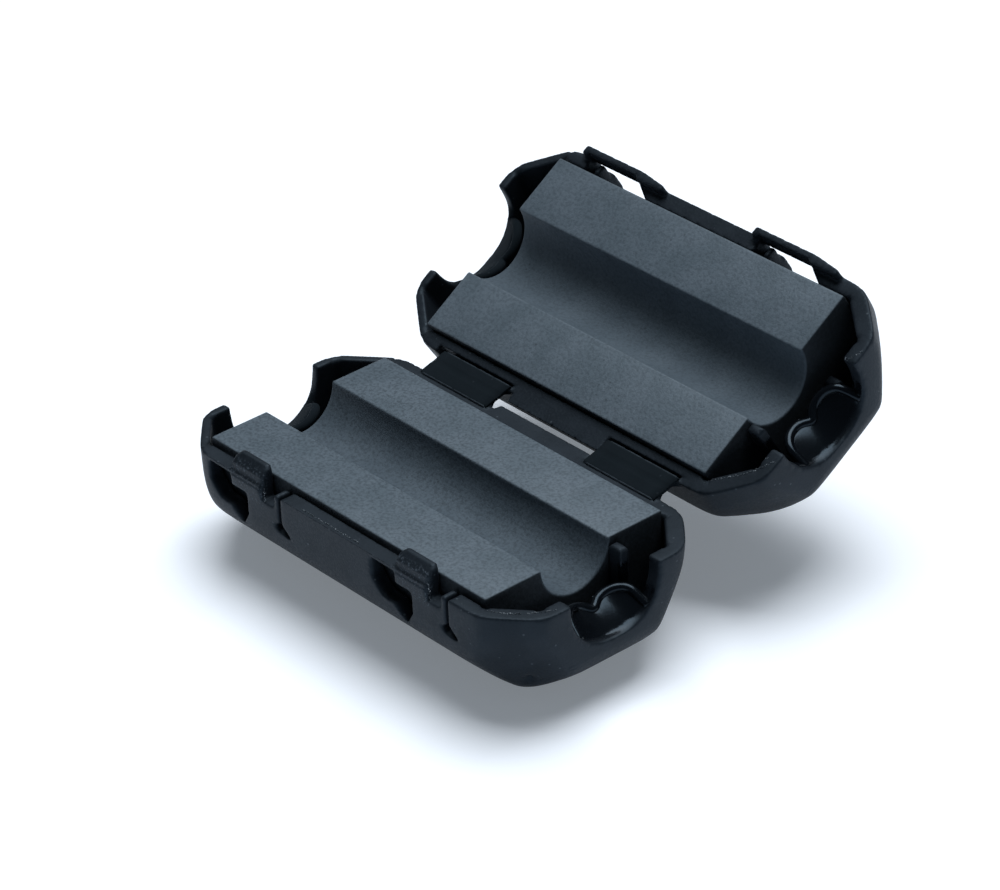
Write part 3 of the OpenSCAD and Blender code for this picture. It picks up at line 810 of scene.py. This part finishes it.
# Lines that carry thin flash and places of larger crumbs, False for the base and True for the lid,
# as points of one half: on its rim, down its latch slits and at its right end.
FLASH_LINES = {
    False: [[(12.92, -7.11, -0.45), (13.51, -6.81, -0.45), (13.98, -6.47, -0.45), (14.76, -5.67, -0.45)],
            [(14.76, -5.67, -0.45), (15.31, -4.81, -0.45), (15.6, -4.2, -0.47)],
            [(8.62, -7.76, -0.2), (8.74, -7.78, -0.69), (8.82, -7.8, -1.32)],
            [(10.68, -7.86, -0.72), (10.89, -7.86, -1.5), (11.17, -7.85, -2.26)],
            [(-2.7, -7.72, -0.45), (2.5, -7.72, -0.45)],
            [(-6.2, -7.85, -0.55), (-6.1, -7.86, -1.5)]],
    True: [[(15.12, -3.51, -0.46), (15.33, -3.47, -0.47), (15.63, -3.89, -0.45), (15.85, -4.33, -0.47)],
           [(12.75, 6.93, -0.47), (13.58, 6.32, -0.45), (14.58, 5.54, -0.45), (15.39, 4.55, -0.45)],
           [(15.39, 4.55, -0.45), (15.75, 4.05, -0.46)],
           [(15.05, 4.2, -0.5), (15.4, 3.5, -0.55)]],
}
CRUMBS = {False: [(15.72, -3.3, -3.2)],
          True: [(15.74, -3.9, -3.75), (15.74, -3.75, -3.9), (15.72, -3.6, -4.0), (15.3, 2.5, -4.9),
                 (13.6, 6.6, -3.2)]}
CRUMB_LENGTH = 0.18


def flash_tree(name, skin):
    """Small torn crumbs of nylon set along the edges of the mesh that goes in."""
    tree = bpy.data.node_groups.new(name, "GeometryNodeTree")
    sockets = {}
    for label, kind, value in (("Geometry", "NodeSocketGeometry", None),
                               ("Spacing", "NodeSocketFloat", 0.09),
                               ("Crumb size", "NodeSocketFloat", 0.035),
                               ("Stray", "NodeSocketFloat", 0.05),
                               ("Seed", "NodeSocketInt", 1)):
        made = tree.interface.new_socket(label, in_out="INPUT", socket_type=kind)
        if value is not None:
            made.default_value = value
        sockets[label] = made.identifier
    tree.interface.new_socket("Geometry", in_out="OUTPUT", socket_type="NodeSocketGeometry")
    given, out = tree.nodes.new("NodeGroupInput"), tree.nodes.new("NodeGroupOutput")
    put = given.outputs
    line = node(tree, "GeometryNodeMeshToCurve", {"Mesh": put["Geometry"]}).outputs[0]
    even = node(tree, "GeometryNodeResampleCurve", {"Curve": line, "Length": put["Spacing"]},
                mode="LENGTH").outputs[0]
    dots = node(tree, "GeometryNodeCurveToPoints", {"Curve": even}, mode="EVALUATED").outputs[0]
    stray = node(tree, "ShaderNodeCombineXYZ", {k: put["Stray"] for k in range(3)}).outputs[0]
    back = node(tree, "ShaderNodeVectorMath", {0: stray, "Scale": -1.0}, operation="SCALE").outputs[0]
    shift = node(tree, "FunctionNodeRandomValue", {"Min": back, "Max": stray, "Seed": put["Seed"]},
                 data_type="FLOAT_VECTOR").outputs[0]
    moved = node(tree, "GeometryNodeSetPosition", {"Geometry": dots, "Offset": shift}).outputs[0]
    crumb = node(tree, "GeometryNodeMeshIcoSphere",
                 {"Radius": put["Crumb size"], "Subdivisions": 2}).outputs[0]
    shape = node(tree, "FunctionNodeRandomValue", {"Min": (0.25, 0.25, 0.2), "Max": (1.5, 0.9, 0.8),
                                                   "Seed": put["Seed"]}, data_type="FLOAT_VECTOR").outputs[0]
    turn = node(tree, "FunctionNodeRandomValue", {"Min": (0.0, 0.0, 0.0), "Max": (6.28, 6.28, 6.28),
                                                  "Seed": put["Seed"]}, data_type="FLOAT_VECTOR").outputs[0]
    set_out = node(tree, "GeometryNodeInstanceOnPoints",
                   {"Points": moved, "Instance": crumb, "Rotation": turn, "Scale": shape}).outputs[0]
    solid = node(tree, "GeometryNodeRealizeInstances", {"Geometry": set_out}).outputs[0]
    skinned = node(tree, "GeometryNodeSetMaterial", {"Geometry": solid, "Material": skin}).outputs[0]
    tree.links.new(skinned, out.inputs[0])
    return tree, sockets


def torn_nylon(name):
    """Whitened nylon, as thin flash and crumbs are."""
    made, tree, shader = material(name)
    grain = use(tree, GRAIN, {"Cloud size": 0.6, "Grain size": 0.08, "Pit size": 0.2, "Pit share": 0.1})
    tone = ramp(tree, grain["Cloud"], 0.4, 0.6)
    wire(tree, mixed(tree, tone, (0.035, 0.045, 0.055), (0.2, 0.235, 0.27)), shader, "Base Color")
    wire(tree, ramp(tree, grain["Grain"], 0.3, 0.7, 0.45, 0.65), shader, "Roughness")
    shader.inputs["Specular Tint"].default_value = (0.7, 0.85, 1.0, 1)
    relief = node(tree, "ShaderNodeBump",
                  {"Height": grain["Grain"], "Strength": 0.4, "Distance": 0.01 * MM})
    wire(tree, relief.outputs[0], shader, "Normal")
    return made


def flash(name, lid, tree, sockets):
    """Moulding flash and crumbs of one half, made a plain mesh."""
    short = CRUMB_LENGTH / 2
    lines = FLASH_LINES[lid] + [[(x - short, y, z), (x + short, y, z)] for x, y, z in CRUMBS[lid]]
    points, edges = [], []
    for line in lines:
        edges += [(len(points) + i, len(points) + i + 1) for i in range(len(line) - 1)]
        points += line
    mesh = bpy.data.meshes.new(name + "_lines")
    mesh.from_pydata((from_half(np.array(points), lid) * MM).tolist(), edges, [])
    guide = linked(name + "_lines", mesh)
    modifier = guide.modifiers.new("flash", "NODES")
    modifier.node_group = tree
    for label, value in (("Spacing", 0.07 * MM), ("Crumb size", 0.045 * MM), ("Stray", 0.05 * MM),
                         ("Seed", 5 + lid)):
        modifier[sockets[label]] = value
    bpy.context.view_layer.update()
    whole = guide.evaluated_get(bpy.context.evaluated_depsgraph_get())
    made = bpy.data.meshes.new_from_object(whole)
    bpy.data.objects.remove(guide)
    piece = linked(name, made)
    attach(piece, "lid" if lid else "base")


crumb_tree, crumb_sockets = flash_tree("nylon flash", torn_nylon("torn_nylon"))
flash("base_flash", False, crumb_tree, crumb_sockets)
flash("lid_flash", True, crumb_tree, crumb_sockets)

camera()
floor()
softbox("key", (-0.12, 0.24, 0.97), 0.8, 13.8)
world(0.08)
bpy.context.scene.view_settings.view_transform = "Standard"
